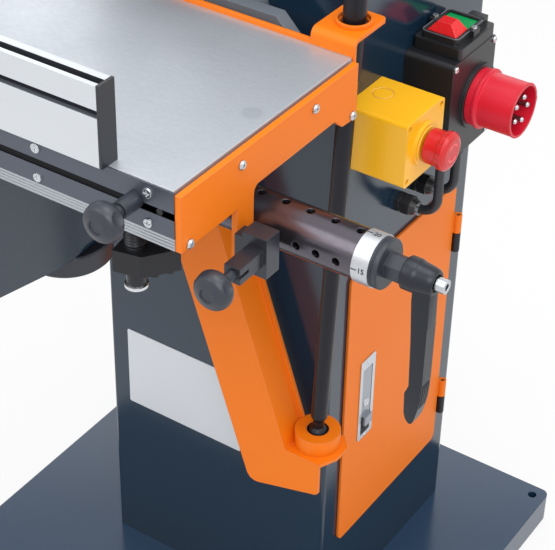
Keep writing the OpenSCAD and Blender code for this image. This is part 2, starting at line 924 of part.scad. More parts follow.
// Orange arm on the lift, with the socket that the control lever pivots in
module lever_arm() {
    foot_x = lever_x + 22;
    fold_x = lever_x - 21;
    slope = 0.342;
    rise = lift_z1 - 1 - tab_z;
    color(orange) {
        upright(arm_y, arm_t, [[fold_x - slope * rise - 69, tab_z + rise], [fold_x - 51, tab_z - 52],
            [fold_x - 49, tab_z - 58], [fold_x - 45, tab_z - 63], [fold_x - 39, tab_z - 65],
            [fold_x - 34, tab_z - 64.5], [foot_x - 3, tab_z - 44], [foot_x, tab_z - 41],
            [foot_x, tab_z], [fold_x, tab_z],
            [fold_x - slope * rise, tab_z + rise]]);
        difference() {
            union() {
                upright(arm_y, 40, [[fold_x, tab_z], [fold_x - slope * rise, tab_z + rise],
                    [fold_x - slope * rise - arm_t, tab_z + rise], [fold_x - arm_t, tab_z]]);
                upright(arm_y + 40 - arm_t, arm_t, [[fold_x + 6, tab_z],
                    [fold_x - slope * rise + 6, tab_z + rise],
                    [fold_x - slope * rise - arm_t, tab_z + rise], [fold_x - arm_t, tab_z]]);
            }
            rod_z(lever_x, lever_y, tab_z - 1, lever_z + 6, socket_d + 2 * clear);
        }
        difference() {
            translate([0, 0, tab_z - arm_t])
                linear_extrude(arm_t)
                    polygon([[fold_x - arm_t, arm_y], [foot_x, arm_y], [foot_x + 10, arm_y + 22],
                        [foot_x + 10, arm_y + 42], [foot_x - 2, lever_y + 24.5],
                        [fold_x + 6, lever_y + 24.5], [fold_x - arm_t, arm_y + 40]]);
            rod_z(lever_x, lever_y, tab_z - arm_t - 1, tab_z + 1, 2 * seat_r - 6);
        }
    }
}

module lever_socket() {
    color(orange)
        difference() {
            rod_z(lever_x, lever_y, tab_z, lever_z + 5, socket_d);
            translate([lever_x, lever_y, lever_z])
                sphere(seat_r + clear);
            rod_z(lever_x, lever_y, tab_z - 1, lever_z, 2 * seat_r - 6);
        }
}

module lever_seat() {
    color(coal)
        translate([lever_x, lever_y, lever_z])
            difference() {
                intersection() {
                    sphere(seat_r);
                    translate([0, 0, -6])
                        cylinder(h = 10, r = seat_r + 1);
                }
                sphere(ball_r + clear);
            }
}

module control_lever() {
    color(coal)
        translate([lever_x, lever_y, lever_z])
            rotate([0, lever_tilt, 0]) {
                sphere(ball_r);
                cylinder(h = 24, d = lever_d - 6);
                translate([0, 0, 18])
                    cylinder(h = 6, d1 = lever_d - 6, d2 = lever_d);
                translate([0, 0, 24])
                    cylinder(h = lever_rise - 60 - 24, d = lever_d);
            }
}

module lever_grip() {
    color(coal)
        translate([lever_x, lever_y, lever_z])
            rotate([0, lever_tilt, 0])
                translate([0, 0, lever_rise - 60])
                    rotate_extrude()
                        polygon(concat([[0, 0], [grip_d / 2, 0], [grip_d / 2, 60 + grip_len],
                            [9, 64 + grip_len]],
                            [for (a = [-60 : 15 : 90]) [18 * cos(a), 80 + grip_len + 18 * sin(a)]]));
}

// Index tube with its pitch ring and clamp
module index_tube() {
    holes = [for (k = [-2 : 3]) [pin_x + front_pitch * k, 180]];
    tops = [for (k = [0 : 4]) [top_first + top_pitch * k, 90]];
    color(iron)
        difference() {
            rod_x(tube_x0, tube_x1, tube_y, tube_z, tube_d);
            rod_x(tube_x0 - 1, tube_x1 + 1, tube_y, tube_z, tube_d - 2 * tube_wall);
            for (h = concat(holes, tops))
                translate([h[0], tube_y, tube_z])
                    rotate([h[1], 0, 0])
                        rotate([-90, 0, 0])
                            cylinder(h = tube_r + 1, d = index_hole_d);
        }
}

module pitch_ring() {
    color(alu)
        difference() {
            rod_x(tube_x1, cap_x, tube_y, tube_z, 2 * ring_r);
            rod_x(tube_x1 - 1, cap_x + 1, tube_y, tube_z, tube_d - 2 * tube_wall);
        }
}

module tube_cap() {
    r = tube_r;
    color(coal)
        translate([cap_x, tube_y, tube_z])
            rotate([0, 90, 0])
                union() {
                    translate([0, 0, -10])
                        cylinder(h = 10, d = tube_d - 2 * tube_wall);
                    rotate_extrude()
                        polygon([[0, 0], [r, 0], [r, 1.5], [r - 1, 2], [r - 1, 3], [r, 3.5], [r, 7],
                            [r - 1, 8], [0, 8]]);
                    translate([0, 0, 8])
                        cylinder(h = 16.6, d = 25.4, $fn = 6);
                }
}

module clamp_lever() {
    r = 15;
    bx = boss_x;
    low = tube_z - clamp_len;
    color(coal) {
        translate([boss_x, tube_y, tube_z])
            rotate([0, 90, 0])
                rotate_extrude()
                    polygon([[0, 0], [r, 0], [r, 11], [r - 2, 13], [r - 5, 29], [0, 29]]);
        upright(tube_y - 8, 16, [[bx + 10, tube_z], [bx + 10, tube_z - 14], [bx + 15, low + 41.5],
            [bx + 13.5, low + 39], [bx + 10, low + 33.5], [bx + 11, low + 8.5], [bx + 12.5, low + 5],
            [bx + 15, low + 2], [bx + 17.5, low], [bx + 20, low + 2], [bx + 22, low + 10],
            [bx + 24, low + 18.5], [bx + 26, low + 27], [bx + 26.6, low + 37], [bx + 27, low + 50],
            [bx + 27, tube_z - 14], [bx + 27, tube_z]]);
    }
}

module clamp_screw() {
    color(steel)
        translate([boss_x + 29, tube_y, tube_z])
            rotate([0, 90, 0])
                difference() {
                    cylinder(h = 9, d = 13);
                    translate([0, 0, 4])
                        cylinder(h = 6, d = 6.9, $fn = 6);
                }
}

// The table
module table_top() {
    color(steel)
        slab(table_l + top_gap, table_r - top_gap, table_front, table_rear, table_z, table_h);
}

module front_profile() {
    back = face_y + front_t;
    slot_top = slot_z + slot_h;
    color(iron)
        sideways(table_l, table_w, [[face_y, table_low + strip_h], [back, table_low + strip_h],
            [back, table_z], [table_front - lip_gap, table_z], [table_front - lip_gap, table_h],
            [face_y, table_h], [face_y, slot_top], [face_y + 4, slot_top], [face_y + 4, slot_top + 3],
            [face_y + 9, slot_top + 3],
            [face_y + 9, slot_z - 3], [face_y + 4, slot_z - 3], [face_y + 4, slot_z], [face_y, slot_z]]);
}

module slot_insert() {
    gap = 0.2;
    color(coal)
        slab(table_l, knob_x - 14, face_y + 0.8, face_y + 8, slot_z + gap, slot_z + slot_h - gap);
}

module ribbed_strip() {
    back = face_y + front_t;
    pitch = strip_h / 4;
    color(alu)
        sideways(table_l, table_w, concat([[back, table_low], [back, table_low + strip_h]],
            [for (k = [3 : -1 : 0]) let (z = table_low + k * pitch)
                each [[face_y, z + pitch], [face_y, z + 0.6], [face_y + 0.8, z + 0.6], [face_y + 0.8, z]]]));
}

module rear_rail() {
    mid = bracket_x0 + bracket_w / 2;
    bend = 8;
    color(orange) {
        slab(table_l, bracket_x0 + bracket_w, table_rear, rail_y, table_low, rail_top);
        slab(bracket_x0, bracket_x0 + bracket_w, table_rear, rail_y, rail_top, bracket_top - bend);
        translate([bracket_x0, table_rear + bend, bracket_top - bend])
            rotate([90, 0, 90])
                linear_extrude(bracket_w)
                    difference() {
                        intersection() {
                            circle(bend);
                            translate([-bend, 0])
                                square(bend);
                        }
                        circle(bend - arm_t);
                    }
        difference() {
            soft_slab(bracket_x0, bracket_x0 + bracket_w, table_rear + bend - 6, bracket_back,
                bracket_top - arm_t, bracket_top, 6);
            slab(bracket_x0 - 1, bracket_x0 + bracket_w + 1, table_rear, table_rear + bend,
                bracket_top - arm_t - 1, bracket_top + 1);
            rod_z(lever_x + lever_lean, lever_y, bracket_top - 10, bracket_top + 10, 27);
        }
    }
}

module guide_ring() {
    color(orange)
        difference() {
            rod_z(lever_x + lever_lean, lever_y, bracket_top, bracket_top + 4, 35.5);
            rod_z(lever_x + lever_lean, lever_y, bracket_top - 1, bracket_top + 6, 30);
        }
}

module end_plates() {
    color(orange) {
        sideways(table_r, end_t, [[end_front, table_low], [tongue_y0, table_low],
            [tongue_y0, tube_z - 26], [tongue_y1, tube_z - 26], [tongue_y1, table_low + 1],
            [tongue_y1 + 1, table_low + 7], [tongue_y1 + 5, table_low + 10.5],
            [tube_y + 102, table_low + 11.2], [tube_y + 114.5, table_low - 0.3],
            [end_rear, table_low - 2], [end_rear, end_top], [end_front, end_top]]);
        slab(table_l - end_t, table_l, end_front, end_rear, table_low, end_top);
    }
}

module table_screws() {
    color(steel) {
        for (p = [[end_front + 10.5, table_low + 4.5], [tube_y - 44, end_top - 12],
                [tube_y + 67, end_top - 12], [rail_y - 13, table_low + 4]])
            head_x(end_x, p[0], p[1], 9);
        for (x = screw_xs) {
            head_y(x, face_y, table_low + 47.5, 10);
            head_y(x, face_y, table_low + 18.5, 9);
        }
        rod_y(table_r - 15, face_y + 0.5, face_y + 8.8, slot_z + slot_h / 2, 6.4);
    }
}

module table_bearings() {
    foot = cross_z - 12;
    color(iron)
        difference() {
            for (x = [car_x0 - 81, car_x1 + 41], y = cross_ys)
                slab(x, x + 40, y - 12, y + 12, foot, table_z);
            for (y = cross_ys)
                rod_x(car_x0 - 82, car_x1 + 82, y, cross_z, cross_rod_d + 2 * run_fit);
        }
}

module fence_bar() {
    top = table_h + fence_h;
    groove = top - 30;
    slot_y0 = fence_y0 + 4.5;
    slot_y1 = slot_y0 + 8;
    neck = 2.5;
    color(alu)
        sideways(fence_x0 + 3, fence_len - 6, [[fence_y0, table_h], [fence_y1, table_h], [fence_y1, top],
            [slot_y1, top], [slot_y1, top - 9], [slot_y0, top - 9], [slot_y0, top], [fence_y0, top],
            [fence_y0, groove + 7.5], [fence_y0 + neck, groove + 7.5], [fence_y0 + neck, groove + 10.5],
            [fence_y0 + 9, groove + 10.5], [fence_y0 + 9, groove - 3], [fence_y0 + neck, groove - 3],
            [fence_y0 + neck, groove], [fence_y0, groove]]);
}

module fence_caps() {
    color(coal)
        for (x = [fence_x0, fence_x1 - 3])
            slab(x, x + 3, fence_y0, fence_y1, table_h, table_h + fence_h + 0.5);
}

// Clamp bracket on a threaded stud under the table's front right
module stop_bracket() {
    color(coal)
        difference() {
            union() {
                translate([stud_x, stud_y, stud_z])
                    linear_extrude(22)
                        polygon([[-12.5, -16.4], [13, -10.7], [15.5, -8.8], [34.2, 18.8], [21.7, 27.1],
                            [13, 14], [-17, 10]]);
                for (p = [[15.5, 6], [23, 17.5]])
                    rod_z(stud_x + p[0], stud_y + p[1], stud_z - 5, stud_z + 4, 9);
            }
            rod_z(stud_x, stud_y, stud_z - 1, stud_z + 23, stud_d);
        }
}

module stop_stud() {
    color(steel) {
        rod_z(stud_x, stud_y, stud_z - 16, table_z, stud_d - 2.4);
        rod_z(stud_x, stud_y, stud_z - 4, stud_z + 26, stud_d);
        translate([stud_x, stud_y, stud_z + 26])
            rotate_extrude()
                polygon(concat([[0, 0]],
                    [for (k = [0 : 12]) each [[stud_d / 2 - 1.3, k * 3], [stud_d / 2, k * 3 + 1.5]]],
                    [[0, 39]]));
        rod_z(stud_x, stud_y, stud_z - 19, stud_z - 16, stud_d + 1);
    }
}

module index_block() {
    color(coal)
        difference() {
            union() {
                slab(end_x + 9, end_x + 34, block_y0, block_y1, tube_z - 20, tube_z + 20);
                slab(end_x, end_x + 9, block_y0 + 2, block_y1 - 2, tube_z - 13, tube_z + 13);
                slab(pin_x - bar_w / 2, pin_x + bar_w / 2, bar_y, block_y0,
                    tube_z - bar_w / 2, tube_z + bar_w / 2);
            }
            rod_y(pin_x, bar_y - 1, block_y1 - 8, tube_z, 10 + 2 * run_fit);
            rod_y(pin_x, block_y1 - 9, block_y1 + 1, tube_z, pin_d + 2 * run_fit);
            slab(pin_x + 5.5, pin_x + bar_w / 2 + 1, bar_y - 1, bar_y + 13, tube_z - 1.8, tube_z + 1.8);
        }
}

module index_plunger() {
    tip = tube_y - tube_r - 0.6;
    color(coal) {
        rod_y(pin_x, block_y1 - 8 - plunge_in - clear, tip, tube_z, pin_d);
        rod_y(pin_x, bar_y - 14, block_y1 - 8 - plunge_in - clear, tube_z, 10);
        grip_knob(pin_x, bar_y - 13, tube_z);
    }
}

module knob_sleeve() {
    color(coal)
        difference() {
            rod_y(knob_x, face_y - 22, face_y, knob_z, sleeve_d);
            rod_y(knob_x, face_y - 23, face_y - 1, knob_z, 12 + 2 * run_fit);
        }
}

module front_knob() {
    color(coal) {
        rod_y(knob_x, face_y - 29, face_y - 2, knob_z, 12);
        grip_knob(knob_x, face_y - 28, knob_z);
    }
}

base_plate();
cabinet_shell();
cabinet_lid();
access_door();
door_hinges();
door_latch();
latch_handle();
name_plate();
drive_motor();
motor_shelf();
spindle_cover();
drill_chuck();
switch_box();
switch_lid();
start_button();
stop_button();
power_inlet();
inlet_pins();
stop_box();
stop_mushroom();
cable_glands();
front_cable();
rear_cable();
box_screws();
console();
lift_columns();
height_handwheel();
lead_screw();
lift_block();
depth_rods();
lever_arm();
lever_socket();
lever_seat();
control_lever();
lever_grip();
cross_carriage();
carriage_apron();
cross_rods();
index_tube();
pitch_ring();
tube_cap();
clamp_lever();
clamp_screw();
table_top();
front_profile();
slot_insert();
ribbed_strip();
rear_rail();
guide_ring();
end_plates();
table_screws();
table_bearings();
index_block();
index_plunger();
knob_sleeve();
front_knob();
fence_bar();
fence_caps();
stop_bracket();
stop_stud();
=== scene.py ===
import math

import bmesh
import bpy
from mathutils import Matrix, Vector


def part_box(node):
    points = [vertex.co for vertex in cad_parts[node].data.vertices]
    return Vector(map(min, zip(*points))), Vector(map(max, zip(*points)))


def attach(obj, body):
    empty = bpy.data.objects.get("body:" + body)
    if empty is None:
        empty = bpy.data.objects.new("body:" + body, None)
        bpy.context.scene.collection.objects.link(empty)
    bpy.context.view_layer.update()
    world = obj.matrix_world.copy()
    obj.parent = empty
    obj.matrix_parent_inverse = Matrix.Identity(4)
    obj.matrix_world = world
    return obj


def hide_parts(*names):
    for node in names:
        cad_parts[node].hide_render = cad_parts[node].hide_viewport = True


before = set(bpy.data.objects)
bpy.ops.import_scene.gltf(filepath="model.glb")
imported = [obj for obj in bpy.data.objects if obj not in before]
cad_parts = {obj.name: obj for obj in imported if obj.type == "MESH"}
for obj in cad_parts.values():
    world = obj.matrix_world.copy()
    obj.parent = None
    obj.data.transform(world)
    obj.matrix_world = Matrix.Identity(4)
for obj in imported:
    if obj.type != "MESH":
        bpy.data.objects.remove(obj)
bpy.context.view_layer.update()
scene = bpy.context.scene
scene.view_settings.view_transform = "Standard"

# Camera. It looks down on the machine from its right front, as at a trade stand, and cuts off its
# top, its left side and its front.
camera_at = Vector((0.9029, -1.3178, 1.6136))
camera_right = Vector((0.82864, 0.55950, 0.01795))
camera_up = Vector((-0.34282, 0.48185, 0.80641))
lens = bpy.data.cameras.new("camera")
lens.sensor_width = 36
lens.sensor_fit = "HORIZONTAL"
lens.lens = 113.13
camera = bpy.data.objects.new("camera", lens)
scene.collection.objects.link(camera)
turn = Matrix((camera_right, camera_up, camera_right.cross(camera_up))).transposed()
camera.matrix_world = Matrix.Translation(camera_at) @ turn.to_4x4()
scene.camera = camera


# Floor and studio. A seamless pale floor and five soft boxes in a white room: over the machine, at its
# left front, beside the camera, at its right and behind it.
class Wire:
    """A socket in a tree of nodes. Sums and products with it add Math nodes."""

    def __init__(self, tree, socket=None):
        self.tree = tree
        self.socket = socket

    def add(self, kind, settings, sockets, out=0):
        """A node of any kind: its settings are set first, then its sockets' values or links."""
        made = self.tree.nodes.new("ShaderNode" + kind)
        for key, value in settings.items():
            setattr(made, key, value)
        for key, value in sockets.items():
            self.feed(made.inputs[key], value)
        return Wire(self.tree, made.outputs[out])

    def feed(self, socket, value):
        if isinstance(value, Wire):
            self.tree.links.new(value.socket, socket)
        else:
            socket.default_value = value

    def maths(self, operation, first, second):
        return self.add("Math", {"operation": operation}, {0: first, 1: second})

    def __add__(self, other):
        return self.maths("ADD", self, other)

    def __sub__(self, other):
        return self.maths("SUBTRACT", self, other)

    def __rsub__(self, other):
        return self.maths("SUBTRACT", other, self)

    def __mul__(self, other):
        return self.maths("MULTIPLY", self, other)

    __radd__ = __add__
    __rmul__ = __mul__


def shade(red, green, blue):
    """A colour as a screen shows it, 0 to 255, as the light that a shader takes."""
    parts = [c / 255 for c in (red, green, blue)]
    return (*[c / 12.92 if c < 0.04 else ((c + 0.055) / 1.055) ** 2.4 for c in parts], 1)


def seen_direct(wire):
    """1 for what the camera sees, straight or in gloss and glass."""
    paths = [wire.add("LightPath", {}, {}, out) for out in ("Is Camera Ray", "Is Glossy Ray",
                                                            "Is Transmission Ray")]
    return wire.add("Clamp", {}, {0: paths[0] + paths[1] + paths[2]})


room = bpy.data.worlds.new("room")
scene.world = room
room.use_nodes = True
room_wire = Wire(room.node_tree)
room_seen = seen_direct(room_wire)
room_light = 0.65
room_back = room.node_tree.nodes["Background"]
room_back.inputs["Color"].default_value = (1, 1, 1, 1)
room_wire.feed(room_back.inputs["Strength"], room_light + room_seen * (1 - room_light))

floor_side = 9
floor_mesh = bpy.data.meshes.new("floor")
floor_mesh.from_pydata([(-floor_side, -floor_side, 0), (floor_side, -floor_side, 0),
                        (floor_side, floor_side, 0), (-floor_side, floor_side, 0)], [], [(0, 1, 2, 3)])
floor = bpy.data.objects.new("floor", floor_mesh)
scene.collection.objects.link(floor)
pale = bpy.data.materials.new("pale_floor")
pale.use_nodes = True
pale_wire = Wire(pale.node_tree)
pale_shader = pale.node_tree.nodes["Principled BSDF"]
pale_shader.inputs["Base Color"].default_value = shade(236, 236, 236)
pale_shader.inputs["Roughness"].default_value = 0.9
pale_shader.inputs["Specular IOR Level"].default_value = 0
pale_glow = pale_wire.add("Emission", {}, {"Color": (1, 1, 1, 1), "Strength": 1})
pale_mix = pale_wire.add("MixShader", {}, {0: seen_direct(pale_wire) * 0.82, 2: pale_glow})
pale.node_tree.links.new(pale_shader.outputs[0], pale_mix.socket.node.inputs[1])
pale.node_tree.links.new(pale_mix.socket, pale.node_tree.nodes["Material Output"].inputs["Surface"])
floor.data.materials.append(pale)

aim = Vector((0.1, -0.15, 0.65))
for name, place, wide, tall, watts in (("soft_box_front", (-1.0, -2.0, 2.6), 1.8, 1.8, 23),
                                       ("soft_box_camera", (1.5, -2.0, 2.5), 1.4, 1.4, 33),
                                       ("soft_box_over", (0.4, -0.1, 3.1), 1.6, 1.6, 30),
                                       ("soft_box_right", (2.3, 0.1, 2.7), 1.6, 1.2, 15),
                                       ("soft_box_back", (-1.5, 2.4, 1.9), 2.4, 1.0, 9)):
    lamp = bpy.data.lights.new(name, "AREA")
    lamp.shape = "RECTANGLE"
    lamp.size = wide
    lamp.size_y = tall
    lamp.energy = watts
    stand = bpy.data.objects.new(name, lamp)
    stand.location = place
    stand.rotation_euler = (aim - stand.location).to_track_quat("-Z", "Y").to_euler()
    scene.collection.objects.link(stand)


# Base tray and cabinet paint. Folded sheet steel, stove-enamelled in a dark blue-grey that is smooth
# enough to mirror what stands before it, with a little orange peel and dust.
def within(wire, place, low, high):
    """1 inside a box of the machine, in metres."""
    spot = wire.add("SeparateXYZ", {}, {0: place}).socket.node.outputs
    inside = 1
    for axis in range(3):
        value = Wire(wire.tree, spot[axis])
        above = wire.maths("GREATER_THAN", value, low[axis])
        below = wire.maths("LESS_THAN", value, high[axis])
        inside = inside * above * below
    return inside


beyond = 9


def region(colour, rough, metal, x=(-beyond, beyond), y=(-beyond, beyond), z=(-beyond, beyond)):
    """A box of the machine with a finish of its own. It runs right through where it has no limits."""
    low, high = zip(x, y, z)
    return low, high, colour, rough, metal


def finish(name, colour, second, rough, grain, bump, metal=0.0, coat=0.0, stretch=(1, 1, 1), edge=0.0,
           round_by=0.0006, cloud=6, level=0.5, spread=0.08, mixed=0.5, regions=(), stains_and_shade=()):
    """A material whose colour, gloss and surface vary. Grain is the size of its fine texture in metres and
    stretch draws that out along an axis. Edge lightens worn edges and round_by rounds them. Regions have a
    finish of their own, some of them painted shade and one painted light, and stains_and_shade are soft
    round
    marks, some real and some painted shade: a place, a radius, a colour and a strength."""
    material = bpy.data.materials.new(name)
    material.use_nodes = True
    tree = material.node_tree
    shader = tree.nodes["Principled BSDF"]
    wire = Wire(tree)
    place = wire.add("TexCoord", {}, {}, "Object")
    drawn = wire.add("Mapping", {}, {"Vector": place, "Scale": stretch})
    clouds = wire.add("TexNoise", {}, {"Vector": place, "Scale": cloud, "Detail": 4})
    fine = wire.add("TexNoise", {}, {"Vector": drawn, "Scale": 1 / grain, "Detail": 3})
    soft = wire.add("Bevel", {"samples": 4}, {"Radius": round_by})
    flat = wire.add("NewGeometry", {}, {}, "Normal")
    facing = wire.add("VectorMath", {"operation": "DOT_PRODUCT"}, {0: soft, 1: flat}, "Value")
    worn = wire.add("Clamp", {}, {0: (1 - facing) * edge})

    def mixed_tone(amount, first, other):
        return wire.add("Mix", {"data_type": "RGBA"}, {0: amount, 6: first, 7: other}, 2)

    tone = mixed_tone(clouds * mixed + fine * (1 - mixed), colour, second)
    for spot, radius, mark, strength in stains_and_shade:
        far = wire.add("VectorMath", {"operation": "DISTANCE"}, {0: place, 1: spot}, "Value")
        near = wire.add("Clamp", {}, {0: (1 - far * (1 / radius)) * 3 + (clouds - 0.5) * 2})
        tone = mixed_tone(near * strength, tone, mark)
    pale_edge = tuple(0.5 * c + 0.5 * max(colour[:3]) for c in colour[:3]) + (1,)
    tone = mixed_tone(worn, tone, pale_edge)
    gloss = rough + (clouds - 0.5) * spread + (fine - 0.5) * spread
    metals = metal
    for low, high, region_colour, region_rough, region_metal in regions:
        inside = within(wire, place, low, high)
        tone = mixed_tone(inside, tone, region_colour)
        gloss = gloss + inside * (region_rough - rough)
        metals = metals + inside * (region_metal - metal)
    wire.feed(shader.inputs["Base Color"], tone)
    wire.feed(shader.inputs["Roughness"], gloss)
    wire.feed(shader.inputs["Metallic"], metals)
    wire.feed(shader.inputs["Normal"], wire.add("Bump", {}, {"Height": fine, "Strength": bump,
                                                             "Distance": grain, "Normal": soft}))
    shader.inputs["Coat Weight"].default_value = coat
    shader.inputs["Coat Roughness"].default_value = 0.06
    shader.inputs["Specular IOR Level"].default_value = level
    return material


def dress(material, *names):
    """The material on CAD pieces, in every slot that they have."""
    for node in names:
        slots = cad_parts[node].data.materials
        if not slots:
            slots.append(material)
        for place in range(len(slots)):
            slots[place] = material


tray_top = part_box("base_plate")[1][2] + 0.0004
# Painted light: below the tray's top the paint is a lighter, bluer tone than the cabinet's, standing in for
# the light on the tray's upward faces.
tray_lit_blue = region(shade(32, 58, 85), 0.16, 0.0, z=(-beyond, tray_top))
slate = finish("slate_paint", shade(18, 40, 58), shade(25, 47, 66), 0.16, 0.0016, 0.04, edge=0.35,
               round_by=0.0012, spread=0.05, level=0.6, regions=(tray_lit_blue,))
dress(slate, "base_plate", "cabinet_shell", "cabinet_lid")

# Front plate. A thin sheet of pale satin aluminium, brushed along its length, stuck on the cabinet's front
# under the table and left bare.
plate_film = finish("plate_film", shade(214, 218, 223), shade(204, 208, 214), 0.36, 0.0007, 0.05, metal=0.25,
                    stretch=(0.05, 1, 1))
dress(plate_film, "name_plate")

# Door. Folded sheet steel in orange powder coat, with a fine pebbled skin, hung on two black lift-off
# hinges at the rear of the cabinet's right side.
orange = finish("orange_powder", shade(236, 121, 8), shade(229, 112, 5), 0.48, 0.0011, 0.14, edge=0.6,
                round_by=0.0013, level=0.3)
dress(orange, "access_door")
black_steel = finish("black_steel", shade(34, 35, 39), shade(46, 46, 50), 0.34, 0.0009, 0.08, metal=0.5,
                     edge=1.2)
dress(black_steel, "door_hinges")

# Door latch. A pressed bright-zinc frame riveted in the door, with a flap that is pulled to open it, a
# turned lock in the flap and a black moulded recess under its tab.
zinc = finish("bright_zinc", shade(214, 217, 221), shade(192, 196, 201), 0.26, 0.0008, 0.06, metal=0.9,
              edge=0.5)
flap_zinc = finish("flap_zinc", shade(176, 181, 188), shade(150, 155, 163), 0.30, 0.0007, 0.07, metal=0.9,
                   stretch=(1, 1, 0.06), edge=0.8)
recess_black = finish("recess_black", shade(24, 25, 27), shade(36, 37, 40), 0.42, 0.0012, 0.2, edge=0.8)
dress(zinc, "door_latch")
dress(flap_zinc, "latch_handle")


crease = math.radians(35)


def made_of(bm, name, material, body):
    """A new piece from a mesh under construction, painted and riding on a body."""
    bmesh.ops.recalc_face_normals(bm, faces=bm.faces)
    mesh = bpy.data.meshes.new(name)
    bm.to_mesh(mesh)
    bm.free()
    mesh.materials.append(material)
    for face in mesh.polygons:
        face.use_smooth = True
    mesh.set_sharp_from_angle(angle=crease)
    piece = bpy.data.objects.new(name, mesh)
    scene.collection.objects.link(piece)
    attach(piece, body)
    return piece


def turned(bm, profile, at, axis, sides=40):
    """A turned shape round an axis through a point. The profile gives radius and distance along the axis."""
    seat = Matrix.Translation(at) @ Vector(axis).to_track_quat("Z", "Y").to_matrix().to_4x4()
    rings = []
    for radius, along in profile:
        count = sides if radius > 1e-6 else 1
        rings.append([bm.verts.new(seat @ Vector((radius * math.cos(2 * math.pi * k / count),
                                                  radius * math.sin(2 * math.pi * k / count), along)))
                      for k in range(count)])
    for low, high in zip(rings, rings[1:]):
        for k in range(sides):
            corners = dict.fromkeys((low[k % len(low)], low[(k + 1) % len(low)],
                                     high[(k + 1) % len(high)], high[k % len(high)]))
            if len(corners) > 2:
                bm.faces.new(list(corners))


def pushed(bm, outline, along, rounding=0.0, steps=2):
    """A closed outline of points, pushed along a vector to a solid, with its edges rounded."""
    low = [bm.verts.new(point) for point in outline]
    high = [bm.verts.new(Vector(point) + Vector(along)) for point in outline]
    bm.faces.new(low)
    bm.faces.new(high[::-1])
    count = len(outline)
    for k in range(count):
        bm.faces.new((low[k], high[k], high[(k + 1) % count], low[(k + 1) % count]))
    if rounding:
        edges = list(dict.fromkeys(edge for vert in low + high for edge in vert.link_edges))
        bmesh.ops.bevel(bm, geom=edges, offset=rounding, segments=steps, profile=0.5, affect="EDGES",
                        clamp_overlap=True)


def block(bm, low, high, rounding=0.0):
    """A box with rounded edges, from its lowest and highest corners."""
    outline = [(x, y, low[2]) for x, y in ((low[0], low[1]), (high[0], low[1]),
                                           (high[0], high[1]), (low[0], high[1]))]
    pushed(bm, outline, (0, 0, high[2] - low[2]), rounding)


latch_low, latch_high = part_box("door_latch")
flap_low, flap_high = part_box("latch_handle")
flap_face = flap_high[0] - 0.0045
flap_mid = (flap_low[1] + flap_high[1]) / 2
lock_z = flap_low[2] + 0.0300
lock_profile = [(0.0055, -0.0006), (0.0055, 0.0007), (0.0050, 0.0011), (0.0038, 0.0011), (0.0036, 0.0006),
                (0, 0.0006)]
key_wide = 0.0012
key_long = 0.0056
key_tall = 0.0010
lock = bmesh.new()
turned(lock, lock_profile, (flap_face, flap_mid, lock_z), (1, 0, 0))
block(lock, (flap_face, flap_mid - key_wide / 2, lock_z - key_long / 2),
      (flap_face + key_tall, flap_mid + key_wide / 2, lock_z + key_long / 2), 0.0002)
made_of(lock, "latch_lock", zinc, "latch")

recess_face = latch_high[0] - 0.0043
recess_thick = 0.0010
recess_round = 0.0003
recess_foot = latch_low[2] + 0.0064
rib_count = 5
rib_first = 0.0021
rib_pitch = 0.0030
rib_tall = 0.0012
rib_short = 0.0020
recess = bmesh.new()
block(recess, (recess_face - recess_thick, flap_low[1] - 0.0002, recess_foot),
      (recess_face, flap_high[1] + 0.0002, flap_low[2] + 0.0100), recess_round)
for step in range(rib_count):
    rib_z = recess_foot + rib_first + rib_pitch * step
    block(recess, (recess_face - 0.0002, flap_low[1] + rib_short, rib_z),
          (recess_face + 0.0010, flap_high[1] - rib_short, rib_z + rib_tall), recess_round)
made_of(recess, "latch_recess", recess_black, "door")

rivet_drops = (0.0070, 0.1122)
rivet_profile = [(0.0024, -0.0003), (0.0024, 0.0003), (0.0018, 0.0008), (0.0008, 0.0010), (0, 0.0008)]
rivets = bmesh.new()
for drop in rivet_drops:
    turned(rivets, rivet_profile, (latch_high[0], flap_mid, latch_high[2] - drop), (1, 0, 0), 20)
made_of(rivets, "latch_rivets", zinc, "door")

# Drive. A cast motor on a folded shelf in the cabinet, with a painted nose plate on the front and a turned
# steel chuck for the bit.
cast_iron = finish("cast_iron", shade(62, 64, 68), shade(48, 50, 54), 0.5, 0.0022, 0.25, metal=0.5, edge=0.8)
steel = finish("bright_steel", shade(204, 207, 211), shade(182, 186, 191), 0.25, 0.0007, 0.05, metal=1,
               edge=0.4)
dress(cast_iron, "drive_motor")
dress(slate, "motor_shelf", "spindle_cover")
dress(steel, "drill_chuck")

# Switch box. Black glass-filled plastic with a screwed lid, a red and a green key in a clear-edged frame and
# a five-pin mains inlet in its right side.
black_plastic = finish("black_plastic", shade(31, 32, 36), shade(24, 25, 28), 0.38, 0.0009, 0.10, edge=1.4,
                       round_by=0.0011)
red_plastic = finish("red_plastic", shade(226, 30, 32), shade(214, 24, 27), 0.28, 0.0012, 0.04, edge=1.0,
                     round_by=0.0010)
crimson = finish("crimson_plastic", shade(212, 20, 48), shade(202, 14, 42), 0.42, 0.0010, 0.05, edge=0.6,
                 round_by=0.0010)
green_plastic = finish("green_plastic", shade(4, 158, 84), shade(2, 142, 74), 0.28, 0.0012, 0.04, edge=0.6)
# The clear frame round the keys is drawn as an opaque grey bead: its grey is a painted highlight for the
# light along the clear plastic's edges.
clear_rim_highlight = finish("clear_rim_highlight", shade(104, 108, 116), shade(70, 73, 80), 0.14, 0.0020, 0.03,
                       coat=0.4)
stop_face_x = 0.2236
stop_face_screws = region(shade(150, 100, 22), 0.5, 0.2, x=(stop_face_x, beyond))
screw_steel = finish("screw_steel", shade(226, 228, 231), shade(204, 207, 211), 0.22, 0.0008, 0.05, metal=1,
                     edge=0.4, regions=(stop_face_screws,))
dress(black_plastic, "switch_box", "switch_lid")
dress(red_plastic, "stop_button")
dress(green_plastic, "start_button")
dress(crimson, "power_inlet")
dress(steel, "inlet_pins")
dress(screw_steel, "box_screws")


